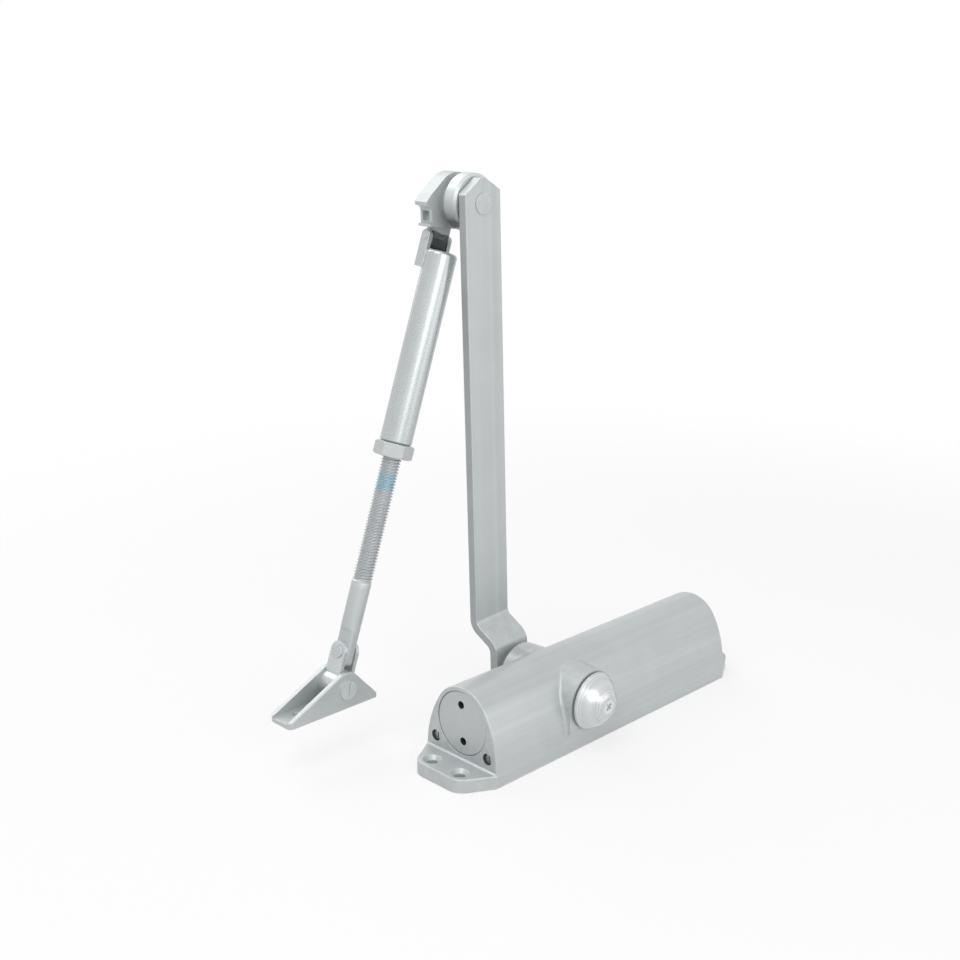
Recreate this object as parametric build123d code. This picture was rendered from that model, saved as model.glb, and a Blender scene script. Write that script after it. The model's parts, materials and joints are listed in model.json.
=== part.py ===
from build123d import *
import os
from math import acos, asin, cos, floor, pi, radians, sin, sqrt, tan

# Overhead door closer: a rack-and-pinion hydraulic body with a two-part arm.
# Millimetres. The origin is the centre of the four fixing holes on the mounting
# face, +X runs along the body to its spring end, +Y points to the arm side along
# the pinion, and +Z points away from the door.

os.makedirs("parts", exist_ok=True)

# ---------------------------------------------------------------- driving sizes
# Fits
running_gap = 0.05          # radial play of a shaft in its hole
assembly_gap = 0.1          # between flat faces that pass each other

# Housing
body_length = 185.0         # between the two end faces
body_width = 48.0
bore_height = 25.9          # cylinder and pinion axes above the mounting face
arch_radius = 18.5          # top of the housing, round the cylinder axis
foot_height = 7.0           # where the walls leave the vertical
end_edge_radius = 0.8
cylinder_radius = 15.0
flange_thickness = 7.0
flange_tip_width = 29.0
flange_tip_margin = 7.0     # hole centre to the flange tip
flange_corner_radius = 9.0
fixing_inset = 10.3         # fixing holes beyond each end face
fixing_spacing_y = 19.0
fixing_hole_radius = 2.75
fixing_sink_radius = 4.7

# Pinion bosses
pinion_offset = 66.0        # pinion axis from the valve end face
boss_radius = 15.5          # at the outer face
boss_draft = 3.0            # degrees
boss_blend = 1.5            # fillet between the cap-side boss and the arch
cap_boss_proud = 2.0        # cap-side boss face beyond the foot of the wall
arm_boss_recess = 1.5       # arm-side boss face inside the foot of the wall
boss_fade_height = 12.0     # below this the cap-side boss slopes back into the wall
spindle_bore_radius = 11.0

# End plugs
plug_radius = 16.4
plug_thickness = 9.0
plug_sink = 0.3             # outer face below the end face
plug_chamfer = 0.6
spigot_length = 3.6
plug_seal_radius = 0.8      # cord radius of the ring
spanner_hole_radius = 2.0
spanner_hole_depth = 4.0
spanner_hole_spacing = 18.7
spanner_hole_turn = 6.0     # degrees off the vertical

# Regulating valves
valve_spread = 35.0         # between the two valve axes
valve_height = 13.3
valve_recess_radius = 2.9
valve_recess_depth = 1.6
valve_radius = 2.5
valve_length = 10.0
valve_needle_length = 6.0
valve_slot_width = 0.9
valve_slot_depth = 1.1
valve_seal_radius = 0.5
passage_radius = 0.9
port_inset = 1.8            # oil port beyond the piston's valve-side face
spring_port_inset = 3.6     # and beyond its spring-side face
passage_tail = 3.6          # passage beyond that port

# Rack and pinion
gear_module = 1.5
gear_teeth = 11
gear_width = 15.0
pressure_angle = 20.0       # degrees
pinion_addendum = 1.5
rack_addendum = 0.9
root_gap = 0.35
backlash = 0.16
pinion_travel = 175.0       # degrees
neck_radius = 6.9
journal_radius = 8.0
bearing_width = 3.6
seal_width = 1.6
gland_sink = 0.4
gland_notch_depth = 0.4
gland_notch_width = 2.0
spindle_neck = 5.5          # arm-side boss face to the hub of the arm
spindle_square = 10.5
cap_stub_radius = 6.0
cap_stub_length = 3.0

# Piston, check valve and spring
window_margin = 1.0
spring_side_head = 14.0     # piston head between the window and the spring
check_ball_radius = 2.6
check_port_radius = 1.6
check_chamber_radius = 3.1
check_ball_play = 1.0
check_clip_thickness = 0.8
spring_wire_radius = 2.1
spring_coil_radius = 11.8
spring_turns = 9
spring_seat_thickness = 2.0
spring_seat_bore = 7.0

# Pinion cap
cap_gap = 1.3               # boss face to the rim
cap_radius = 14.8
cap_rim = 0.9
cap_height = 10.2           # rim to tip
cap_tip_radius = 5.4
cap_bulge = 0.9             # dome outside the straight cone
cap_hub_radius = 9.5
cap_screw_radius = 2.0
cap_screw_head_radius = 3.7
cap_screw_head_height = 2.0
cap_screw_grip = 8.0        # length of screw in the pinion
cross_width = 1.1
cross_length = 4.2
cross_depth = 1.3

# Main arm
arm_length = 241.5          # pinion axis to elbow axis
arm_lean = 3.5              # degrees, towards the valve end
arm_width = 24.0
arm_thickness = 5.0
arm_edge_radius = 0.7
arm_offset = 14.0           # joggle from the hub to the blade
joggle_start = 14.7         # pinion axis to the first bend
joggle_length = 8.0         # between the two bends, along the arm
joggle_radius = 6.5         # of the middle line
arm_shoulder = 5.2          # the full width reaches this far past the elbow axis
arm_tip_reach = 12.2
arm_tip_flat = 3.0
arm_tip_radius = 1.5
arm_screw_radius = 3.0
arm_screw_grip = 10.0
arm_screw_head_radius = 5.2
arm_screw_head_height = 4.0
arm_socket_floor = 1.3      # metal under the socket
arm_screw_socket = 5.0      # hexagon, across flats
arm_washer_radius = 9.0
arm_washer_thickness = 1.5

# Elbow
elbow_pin_radius = 4.0
elbow_head_radius = 5.3
elbow_head_height = 0.5
elbow_washer_radius = 8.0
elbow_washer_thickness = 0.6
elbow_washer_edge = 0.15
elbow_disc_radius = 14.0
elbow_disc_thickness = 8.3
elbow_disc_edge = 1.2
knuckle_radius = 13.7
knuckle_neck_radius = 10.0  # between the disc and the plate
knuckle_neck_length = 4.2
knuckle_thickness = 8.2     # of the plate
elbow_tail_radius = 6.5
elbow_tail_height = 1.4
lobe_reach = 17.0           # corner of the lobe, from the elbow axis
lobe_drop = 1.4
rib_reach = 19.3            # tip of the upper stop rib
rib_drop = 6.2
rib_thickness = 1.5
rib_point = 0.9             # draw of the tip
flank_reach = 15.0          # flank under the upper rib
flank_draw = 3.2            # how far it comes in above the lower rib
lower_rib_reach = 13.3
knuckle_gap = 0.5           # foot of the knuckle above the fork cheeks
foot_end = 6.0              # where the foot runs back into the round head
pocket_floor = 11.0         # pockets between the ribs, from the elbow axis
pocket_height = 2.4
pocket_lip = 2.2            # near wall of the pockets
pocket_wall = 1.3           # far wall

# Forearm
forearm_plane = 59.0        # middle of the tube from the middle plane of the body
forearm_lean = 18.4         # degrees from the vertical
forearm_shift = 2.75        # tube axis off the elbow axis
pin_drop = 19.9             # elbow axis to fork pin, along the forearm
fork_width = 16.0
fork_gap = 11.0
fork_depth = 5.4
fork_offset = 5.7           # pin beyond the tube axis
fork_foot_drop = 15.5       # cheeks below the pin
fork_pin_radius = 1.5
fork_pin_head = 0.4
fork_pin_head_radius = 2.3
tongue_play = 0.2           # each side of the tongue in the fork
tube_radius = 8.0
tube_head_drop = 6.3        # top of the tube below the pin
tube_head_radius = 2.0      # rounding of that top
tube_end_chamfer = 0.8
tube_length = 95.5
tube_thread_length = 24.0
tube_relief = 1.2           # bore above the thread, over the thread
tube_end_wall = 9.0
nut_flats = 17.0
nut_height = 7.0
nut_turn = 15.0             # degrees, a flat square to the corner of the door
rod_radius = 5.0
rod_top_drop = 59.6         # top of the rod below the fork pin
rod_shank_drop = 196.0      # start of the flattened end
rivet_drop = 207.8
rod_flat_thickness = 5.5
rod_flat_width = 10.0
rod_flat_tail = 6.8         # past the rivet
rod_flat_corner = 2.5

# Swivel and shoe
rivet_radius = 2.2
rivet_head_radius = 3.4
rivet_head_height = 0.9
ear_thickness = 2.0
ear_radius = 5.2
barrel_drop = 17.2          # rivet to the shoe screw axis
barrel_radius = 7.4
shoe_plate = 2.5
shoe_channel = 11.0         # between the side plates
shoe_toe = 35.7             # toe from the screw axis
shoe_heel = 19.4
shoe_toe_height = 3.0
shoe_heel_height = 2.6
shoe_eye_radius = 8.8
shoe_corner_radius = 3.0    # of the toe, seen from above
shoe_edge_radius = 0.6
shoe_axis_height = 10.3     # screw axis above the base
shoe_hole_radius = 2.6
shoe_hole_spacing = 38.0
shoe_hole_inset = 11.2      # front hole from the toe
shoe_screw_radius = 3.0
shoe_screw_head_radius = 4.8
shoe_screw_head_height = 1.5
slot_width = 1.3
slot_depth = 0.8
slot_turn = 80.0            # degrees from the shoe's base

# ------------------------------------------------------------- derived positions
half_length = body_length / 2
half_width = body_width / 2
cap_boss_reach = half_width + cap_boss_proud
arm_boss_reach = half_width - arm_boss_recess
pinion_x = pinion_offset - half_length
pitch_radius = gear_module * gear_teeth / 2
gear_tip_radius = pitch_radius + pinion_addendum
gear_root_radius = pitch_radius - rack_addendum - root_gap
tooth_pitch = pi * gear_module
piston_travel = radians(pinion_travel) * pitch_radius
piston_radius = cylinder_radius - running_gap

plug_outer = half_length - plug_sink
spigot_start = plug_outer - plug_thickness
spigot_end = spigot_start - spigot_length
window_start = pinion_x - gear_tip_radius - window_margin - piston_travel
window_end = pinion_x + gear_tip_radius + window_margin
piston_start = assembly_gap - spigot_end
piston_end = window_end + spring_side_head

bearing_start = cylinder_radius + assembly_gap
seal_start = bearing_start + bearing_width
gland_start = seal_start + seal_width
journal_end_cap = -cap_boss_reach
cap_face = -cap_boss_reach - cap_gap
hub_face = arm_boss_reach + spindle_neck
hub_back = hub_face + arm_thickness
blade_face = hub_face + arm_offset
blade_back = blade_face + arm_thickness
disc_face = blade_back + elbow_washer_thickness
disc_back = disc_face + elbow_disc_thickness
knuckle_face = disc_back + assembly_gap
plate_face = knuckle_face + knuckle_neck_length
knuckle_back = plate_face + knuckle_thickness
tongue_y = forearm_plane + fork_offset

elbow_x = pinion_x - arm_length * sin(radians(arm_lean))
elbow_z = bore_height + arm_length * cos(radians(arm_lean))
tongue_half = fork_gap / 2 - tongue_play
tongue_round = fork_depth / 2
knuckle_foot = tongue_round + knuckle_gap - pin_drop
tube_end = -tube_head_drop - tube_length
nut_top = tube_end - assembly_gap

# Frames. The pinion frame stands on the pinion axis. The arm frame has its z axis
# along the arm. The elbow frame has its z axis up the forearm. The forearm frame
# stands on the tube axis at the fork pin. The shoe frame is level, on the screw.
pinion_frame = Pos(pinion_x, 0, bore_height)
arm_frame = pinion_frame * Rot(0, -arm_lean, 0)
elbow_frame = Pos(elbow_x, 0, elbow_z) * Rot(0, forearm_lean, 0)
forearm_frame = elbow_frame * Pos(-forearm_shift, forearm_plane, -pin_drop)
rivet_frame = forearm_frame * Pos(0, 0, -rivet_drop)
barrel_frame = rivet_frame * Pos(0, 0, -barrel_drop)
shoe_frame = Pos(barrel_frame.position)


# --------------------------------------------------------------------- helpers
def rod_x(radius, start, end, y=0.0, z=0.0):
    """A cylinder along X between two places."""
    return Pos((start + end) / 2, y, z) * Rot(0, 90, 0) * Cylinder(radius, abs(end - start))


def rod_y(radius, start, end, x=0.0, z=0.0):
    """A cylinder along Y between two places."""
    return Pos(x, (start + end) / 2, z) * Rot(90, 0, 0) * Cylinder(radius, abs(end - start))


def rod_z(radius, start, end, x=0.0, y=0.0):
    """A cylinder along Z between two places."""
    return Pos(x, y, (start + end) / 2) * Cylinder(radius, abs(end - start))


def block(x0, x1, y0, y1, z0, z1):
    """A box between two corners."""
    centre = Pos((x0 + x1) / 2, (y0 + y1) / 2, (z0 + z1) / 2)
    return centre * Box(abs(x1 - x0), abs(y1 - y0), abs(z1 - z0))


def plate_y(outline, start, end):
    """An outline drawn with X across and Z up, extruded between two places on Y."""
    plane = Plane(origin=(0, end, 0), x_dir=(1, 0, 0), z_dir=(0, -1, 0))
    return extrude(plane * outline, amount=end - start)


def turned_x(profile):
    """Revolve a profile of (x, radius) points about the X axis."""
    face = make_face(Polyline(*[(x, 0, r) for x, r in profile], close=True))
    return revolve(face, Axis.X)


def turned_y(profile):
    """Revolve a profile of (y, radius) points about the Y axis."""
    face = make_face(Polyline(*[(r, y, 0) for y, r in profile], close=True))
    return revolve(face, Axis.Y)


def save(node, shape):
    """Write one sub-part, named as its file."""
    export_step(shape, f"parts/{node}.step")


# --------------------------------------------------------------------- housing
def arch_outline():
    """Cross-section of the housing: two flank arcs run tangent into the top arc."""
    rise = bore_height - foot_height
    flank_radius = (half_width**2 + rise**2 - arch_radius**2) / (2 * (half_width - arch_radius))
    flank_centre = half_width - flank_radius
    tilt = asin(rise / (flank_radius - arch_radius))
    join_y = flank_centre + flank_radius * cos(tilt)
    join_z = foot_height + flank_radius * sin(tilt)
    mid_y = flank_centre + flank_radius * cos(tilt / 2)
    mid_z = foot_height + flank_radius * sin(tilt / 2)
    outline = Line((-half_width, 0), (half_width, 0))
    outline += Line((half_width, 0), (half_width, foot_height))
    outline += ThreePointArc((half_width, foot_height), (mid_y, mid_z), (join_y, join_z))
    outline += ThreePointArc((join_y, join_z), (0, bore_height + arch_radius), (-join_y, join_z))
    outline += ThreePointArc((-join_y, join_z), (-mid_y, mid_z), (-half_width, foot_height))
    outline += Line((-half_width, foot_height), (-half_width, 0))
    return make_face(outline)


def arch_barrel():
    """The arch along the body, with softened end edges."""
    plane = Plane(origin=(-half_length, 0, 0), x_dir=(0, 1, 0), z_dir=(1, 0, 0))
    barrel = extrude(plane * arch_outline(), amount=body_length)
    return fillet(barrel.edges().filter_by(GeomType.CIRCLE), end_edge_radius)


def flange():
    """The fixing foot: full width at the end faces, narrow at its two tips."""
    tip_x = half_length + fixing_inset + flange_tip_margin
    tip_y = flange_tip_width / 2
    quarter = [(tip_x, tip_y), (half_length, half_width)]
    upper = quarter + [(-x, y) for x, y in reversed(quarter)]
    lower = [(x, -y) for x, y in reversed(upper)]
    outline = make_face(Polyline(*upper, *lower, close=True))
    tips = outline.vertices().filter_by(lambda v: abs(v.X) > half_length + 1)
    foot = extrude(fillet(tips, flange_corner_radius), amount=flange_thickness)
    rim = foot.faces().sort_by(Axis.Z)[-1].edges()
    return fillet(rim.filter_by(lambda e: abs(e.center().X) > half_length), end_edge_radius)


def boss(side, reach):
    """A drafted round boss on straight sides, which fades into the wall at the foot."""
    face = Plane(origin=(pinion_x, side * reach, bore_height), x_dir=(1, 0, 0), z_dir=(0, -side, 0))
    upright = Pos(0, -side * bore_height / 2) * Rectangle(2 * boss_radius, bore_height)
    drafted = extrude(face * (Circle(boss_radius) + upright), amount=reach, taper=-boss_draft)
    top = 2 * bore_height
    wall = [(0, 0), (half_width, 0), (half_width, foot_height), (reach, boss_fade_height)]
    limit = wall + [(reach, top), (0, top)]
    section = Plane(origin=(pinion_x, 0, 0), x_dir=(0, side, 0), z_dir=(side, 0, 0))
    envelope = extrude(section * make_face(Polyline(*limit, close=True)), amount=body_width, both=True)
    return drafted & envelope


def fixing_holes():
    """Four countersunk holes through the flanges."""
    sink_depth = fixing_sink_radius - fixing_hole_radius
    hole = rod_z(fixing_hole_radius, -1, flange_thickness + 1)
    sink_z = flange_thickness - sink_depth / 2
    hole += Pos(0, 0, sink_z) * Cone(fixing_hole_radius, fixing_sink_radius, sink_depth)
    return GridLocations(body_length + 2 * fixing_inset, fixing_spacing_y, 2, 2) * hole


def valve_bores():
    """A recess, a valve seat and an oil passage with two ports, on each side."""
    face = -half_length
    recess_end = face + valve_recess_depth
    seat_end = recess_end + valve_length + assembly_gap
    spring_port = piston_end + spring_port_inset
    cut = []
    for y in (-valve_spread / 2, valve_spread / 2):
        cut.append(rod_x(valve_recess_radius, face - 1, recess_end, y, valve_height))
        cut.append(rod_x(valve_radius + running_gap, face, seat_end, y, valve_height))
        cut.append(rod_x(passage_radius, face, spring_port + passage_tail, y, valve_height))
        for port_x in (piston_start + port_inset, spring_port):
            reach = Vector(port_x, y, valve_height) - Vector(port_x, 0, bore_height)
            start = Plane(origin=(port_x, 0, bore_height), z_dir=reach)
            cut.append(extrude(start * Circle(passage_radius), amount=reach.length))
    return cut


def housing():
    """One casting: arch, feet and bosses, bored for the piston, pinion and valves."""
    body = arch_barrel() + flange() + boss(-1, cap_boss_reach) + boss(1, arm_boss_reach)
    root = body.edges().filter_by(GeomType.BSPLINE).filter_by_position(Axis.Y, -cap_boss_reach, 0)
    body = fillet(root.filter_by_position(Axis.Z, bore_height, 2 * bore_height), boss_blend)
    body -= rod_x(cylinder_radius, -half_length, half_length, 0, bore_height)
    for side in (-1, 1):
        seat_start, seat_end = side * spigot_start, side * (half_length + 1)
        body -= rod_x(plug_radius + running_gap, seat_start, seat_end, 0, bore_height)
    body -= rod_y(spindle_bore_radius, -cap_boss_reach - 1, arm_boss_reach + 1, pinion_x, bore_height)
    body -= fixing_holes()
    body -= valve_bores()
    return body


# ------------------------------------------------------- end plugs and valves
def end_plug():
    """The plug of the spring end: a disc with two spanner holes and a ringed spigot."""
    spigot_radius = cylinder_radius - running_gap
    groove = cylinder_radius - 2 * plug_seal_radius
    middle = (spigot_start + spigot_end) / 2
    profile = [
        (plug_outer, 0),
        (plug_outer, plug_radius - plug_chamfer),
        (plug_outer - plug_chamfer, plug_radius),
        (spigot_start, plug_radius),
        (spigot_start, spigot_radius),
        (middle + plug_seal_radius, spigot_radius),
        (middle + plug_seal_radius, groove),
        (middle - plug_seal_radius, groove),
        (middle - plug_seal_radius, spigot_radius),
        (spigot_end, spigot_radius),
        (spigot_end, 0),
    ]
    plug = Pos(0, 0, bore_height) * turned_x(profile)
    reach_y = spanner_hole_spacing / 2 * sin(radians(spanner_hole_turn))
    reach_z = spanner_hole_spacing / 2 * cos(radians(spanner_hole_turn))
    for side in (-1, 1):
        floor_x = plug_outer - spanner_hole_depth
        hole_z = bore_height + side * reach_z
        plug -= rod_x(spanner_hole_radius, floor_x, plug_outer + 1, side * reach_y, hole_z)
    return plug


def plug_seal():
    """The ring in the groove of a plug."""
    middle = (spigot_start + spigot_end) / 2
    ring = Torus(cylinder_radius - plug_seal_radius, plug_seal_radius)
    return Pos(middle, 0, bore_height) * Rot(0, 90, 0) * ring


def valve(y):
    """A slotted regulating valve with a ring groove and a needle point."""
    start = -half_length + valve_recess_depth
    end = start + valve_length
    groove = start + valve_length / 2
    bottom = valve_radius - 2 * valve_seal_radius
    needle_radius = passage_radius - 2 * running_gap
    profile = [
        (start, 0),
        (start, valve_radius),
        (groove - valve_seal_radius, valve_radius),
        (groove - valve_seal_radius, bottom),
        (groove + valve_seal_radius, bottom),
        (groove + valve_seal_radius, valve_radius),
        (end, valve_radius),
        (end, needle_radius),
        (end + valve_needle_length / 2, needle_radius),
        (end + valve_needle_length, 0),
    ]
    half_slot = valve_slot_width / 2
    slot = block(start - 1, start + valve_slot_depth, -half_slot, half_slot, -valve_radius, valve_radius)
    return Pos(0, y, valve_height) * (turned_x(profile) - slot)


def valve_seal(y):
    """The ring on a regulating valve."""
    groove = -half_length + valve_recess_depth + valve_length / 2
    ring = Torus(valve_radius - valve_seal_radius, valve_seal_radius)
    return Pos(groove, y, valve_height) * Rot(0, 90, 0) * ring


# ------------------------------------------------------------ spindle supports
def collar(outer, inner, start, end):
    """A plain ring on the pinion axis."""
    return pinion_frame * (rod_y(outer, start, end) - rod_y(inner, start, end))


def gland_nut(side, reach):
    """The screwed ring that holds a bearing and its seal, with two spanner notches."""
    end = reach - gland_sink
    ring = collar(spindle_bore_radius, journal_radius + running_gap, side * gland_start, side * end)
    half = gland_notch_width / 2
    floor_y = side * (end - gland_notch_depth)
    notch = block(-spindle_bore_radius, spindle_bore_radius, floor_y, side * reach, -half, half)
    return ring - pinion_frame * notch


# --------------------------------------------------------------- rack and pinion
def involute(angle):
    return tan(angle) - angle


def tooth_half_angle(radius):
    """Half the angle that a pinion tooth spans at a radius."""
    base_radius = pitch_radius * cos(radians(pressure_angle))
    thickness = (tooth_pitch - backlash) / 2
    at_pitch = thickness / (2 * pitch_radius) + involute(radians(pressure_angle))
    return at_pitch - involute(acos(min(1, base_radius / radius)))


def tooth_outline():
    """One involute tooth that points down, with a radial root inside the base circle."""
    base_radius = pitch_radius * cos(radians(pressure_angle))
    steps = 3
    radii = [base_radius + (gear_tip_radius - base_radius) * k / steps for k in range(steps + 1)]
    flank = [(r * sin(tooth_half_angle(r)), -r * cos(tooth_half_angle(r))) for r in radii]
    root_angle = tooth_half_angle(base_radius)
    root = (gear_root_radius * sin(root_angle), -gear_root_radius * cos(root_angle))
    right = Line(root, flank[0]) + Spline(*flank)
    left = mirror(right, Plane.YZ)
    tip = ThreePointArc(flank[-1], (0, -gear_tip_radius), (-flank[-1][0], flank[-1][1]))
    heel = Polyline((-root[0], root[1]), (0, 0), root)
    return make_face(right + tip + left + heel)


def gear():
    """The toothed middle of the pinion."""
    tooth = tooth_outline()
    outline = Circle(gear_root_radius)
    for k in range(gear_teeth):
        outline += Rot(0, 0, 360 * k / gear_teeth) * tooth
    return plate_y(outline, -gear_width / 2, gear_width / 2)


def pinion():
    """Gear and spindle in one: two journals, a square for the arm and a stub for the cap."""
    shaft = gear() + rod_y(neck_radius, -bearing_start, bearing_start)
    shaft += rod_y(journal_radius, journal_end_cap, -bearing_start)
    shaft += rod_y(journal_radius, bearing_start, hub_face)
    shaft += rod_y(cap_stub_radius, journal_end_cap - cap_stub_length, journal_end_cap)
    shaft -= rod_y(cap_screw_radius, cap_face - cap_stub_length, journal_end_cap + cap_screw_grip)
    half = spindle_square / 2
    square = block(-half, half, hub_face, hub_back - assembly_gap, -half, half)
    shaft += Rot(0, -arm_lean, 0) * square
    shaft -= rod_y(arm_screw_radius, hub_back - arm_screw_grip, hub_back)
    return pinion_frame * shaft


def rack_space():
    """The gap between two rack teeth, drawn about the pitch line."""
    top = rack_addendum + root_gap
    bottom = -pinion_addendum - root_gap
    middle = (tooth_pitch + backlash) / 4
    slope = tan(radians(pressure_angle))
    wide = middle + top * slope
    narrow = middle + bottom * slope
    return make_face(Polyline((-wide, top), (wide, top), (narrow, bottom), (-narrow, bottom), close=True))


def piston():
    """A plunger with a cross window, a rack along the window's lower side and a check valve."""
    body = rod_x(piston_radius, piston_start, piston_end)
    rack_level = -pitch_radius + rack_addendum
    ceiling = gear_tip_radius + root_gap
    body -= block(window_start, window_end, -piston_radius, piston_radius, rack_level, ceiling)
    space = Pos(0, -pitch_radius) * rack_space()
    half_space = tooth_pitch / 2
    first = -floor((pinion_x - window_start - half_space) / tooth_pitch)
    last = floor((window_end - pinion_x - half_space) / tooth_pitch)
    for k in range(first, last + 1):
        body -= plate_y(Pos(pinion_x + k * tooth_pitch) * space, -piston_radius, piston_radius)
    chamber_end = piston_start + check_clip_thickness + 2 * check_ball_radius + check_ball_play
    body -= rod_x(check_chamber_radius, piston_start, chamber_end)
    body -= rod_x(check_port_radius, piston_start, window_start)
    return Pos(0, 0, bore_height) * body


def check_ball():
    """The ball that closes the oil port through the piston."""
    centre = piston_start + check_clip_thickness + check_ball_play + check_ball_radius
    return Pos(centre, 0, bore_height) * Sphere(check_ball_radius)


def check_clip():
    """The ring that keeps the ball in its chamber."""
    end = piston_start + check_clip_thickness
    clip = rod_x(check_chamber_radius, piston_start, end) - rod_x(check_port_radius, piston_start, end)
    return Pos(0, 0, bore_height) * clip


def spring_seat():
    """The washer between the spring and its end plug."""
    start = spigot_end - spring_seat_thickness
    seat = rod_x(piston_radius, start, spigot_end) - rod_x(spring_seat_bore, start, spigot_end)
    return Pos(0, 0, bore_height) * seat


def closing_spring():
    """A compression spring with ground ends, between the piston and its seat."""
    start = piston_end
    end = spigot_end - spring_seat_thickness
    pitch = (end - start) / spring_turns
    path = Helix(pitch, end - start + pitch, spring_coil_radius)
    section = Plane(origin=path @ 0, z_dir=path % 0) * Circle(spring_wire_radius)
    coil = Pos(start - pitch / 2, 0, 0) * Rot(0, 90, 0) * sweep(section, path=path, is_frenet=True)
    ground = block(start, end, -cylinder_radius, cylinder_radius, -cylinder_radius, cylinder_radius)
    return Pos(0, 0, bore_height) * (coil & ground)


# ------------------------------------------------------------------ pinion cap
def pinion_cap():
    """A turned dome over the free end of the pinion."""
    tip = cap_face - cap_height
    rim, crown = Vector(cap_radius, cap_face - cap_rim), Vector(cap_tip_radius, tip)
    chord = crown - rim
    outward = Vector(-chord.Y, chord.X).normalized()
    outline = Polyline(
        crown,
        (0, tip),
        (0, journal_end_cap),
        (cap_hub_radius, journal_end_cap),
        (cap_hub_radius, cap_face),
        (cap_radius, cap_face),
        rim,
    )
    outline += ThreePointArc(rim, (rim + crown) / 2 + outward * cap_bulge, crown)
    cap = revolve(make_face(outline), Axis.Y)
    cap -= rod_y(cap_stub_radius, journal_end_cap - cap_stub_length, journal_end_cap)
    cap -= rod_y(cap_screw_radius, tip, journal_end_cap)
    cap -= rod_y(cap_screw_head_radius, tip, tip + cap_screw_head_height)
    return pinion_frame * cap


def cap_screw():
    """The cross-recessed screw that holds the cap."""
    tip = cap_face - cap_height
    screw = rod_y(cap_screw_head_radius, tip, tip + cap_screw_head_height)
    screw += rod_y(cap_screw_radius, tip, journal_end_cap + cap_screw_grip)
    long, wide = cross_length / 2, cross_width / 2
    for turn in (45, 135):
        bar = block(-long, long, tip - 1, tip + cross_depth, -wide, wide)
        screw -= Rot(0, turn, 0) * bar
    return pinion_frame * screw


# -------------------------------------------------------------------- main arm
def arm_outline():
    """The arm seen along the pinion: round at the hub, cut corners past the elbow."""
    half = arm_width / 2
    shoulder = arm_length + arm_shoulder
    tip = arm_length + arm_tip_reach
    upper = [(half, 0), (half, shoulder), (arm_tip_flat / 2, tip)]
    upper += [(-x, z) for x, z in reversed(upper)]
    plate = make_face(Polyline(*upper, close=True))
    crown = plate.vertices().filter_by(lambda v: v.Y > arm_length)
    return fillet(crown, arm_tip_radius) + Circle(half)


def main_arm():
    """A flat bar with a double bend, square-holed at the hub and drilled at the elbow."""
    hub_y = hub_face + arm_thickness / 2
    blade_y = hub_y + arm_offset
    top = arm_length + arm_tip_reach
    corners = [
        (0, hub_y, -arm_width / 2),
        (0, hub_y, joggle_start),
        (0, blade_y, joggle_start + joggle_length),
        (0, blade_y, top),
    ]
    path = FilletPolyline(*corners, radius=joggle_radius)
    section = Plane(origin=corners[0]) * RectangleRounded(arm_width, arm_thickness, arm_edge_radius)
    bar = sweep(section, path=path)
    bar &= plate_y(arm_outline(), hub_face, blade_back)
    hole = spindle_square / 2
    bar -= block(-hole, hole, hub_face, hub_back, -hole, hole)
    bar -= rod_y(elbow_pin_radius, blade_face, blade_back, 0, arm_length)
    return arm_frame * bar


def arm_washer():
    """The washer between the hub and its screw."""
    end = hub_back + arm_washer_thickness
    return collar(arm_washer_radius, arm_screw_radius, hub_back, end)


def arm_screw():
    """The socket screw that draws the arm onto the square."""
    seat = hub_back + arm_washer_thickness
    top = seat + arm_screw_head_height
    screw = rod_y(arm_screw_radius, hub_back - arm_screw_grip, seat)
    screw += rod_y(arm_screw_head_radius, seat, top)
    socket = RegularPolygon(arm_screw_socket / 2, 6, major_radius=False)
    screw -= plate_y(socket, seat + arm_socket_floor, top)
    return pinion_frame * screw


# ----------------------------------------------------------------------- elbow
def elbow_pin():
    """The headed pin that the forearm turns on, riveted into the blade."""
    tail = knuckle_back + assembly_gap
    pin = rod_y(elbow_pin_radius, blade_face, tail)
    pin += rod_y(elbow_head_radius, blade_face - elbow_head_height, blade_face)
    pin += rod_y(elbow_tail_radius, tail, tail + elbow_tail_height)
    return elbow_frame * pin


def elbow_ring(radius, start, end, edge):
    """A disc on the elbow pin, with a chamfered rim."""
    profile = [
        (start, elbow_pin_radius),
        (start, radius - edge),
        (start + edge, radius),
        (end - edge, radius),
        (end, radius - edge),
        (end, elbow_pin_radius),
    ]
    return elbow_frame * turned_y(profile)


def knuckle_outline():
    """The knuckle seen along its pin: a round head drawn out to two stop ribs."""
    crest = Line((-lobe_reach, -lobe_drop), (-rib_reach, -rib_drop))
    head = make_hull(Circle(knuckle_radius).edges() + crest.edges())
    under_rib = -rib_drop - rib_thickness
    flank = [
        (-rib_reach, -rib_drop),
        (-rib_reach + rib_point, under_rib),
        (-flank_reach, under_rib),
        (-flank_reach + flank_draw, knuckle_foot + rib_thickness),
        (-lower_rib_reach, knuckle_foot + rib_thickness),
        (-lower_rib_reach, knuckle_foot),
        (foot_end, -sqrt(knuckle_radius**2 - foot_end**2)),
        (0, 0),
    ]
    return head + make_face(Polyline(*flank, close=True))


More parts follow.
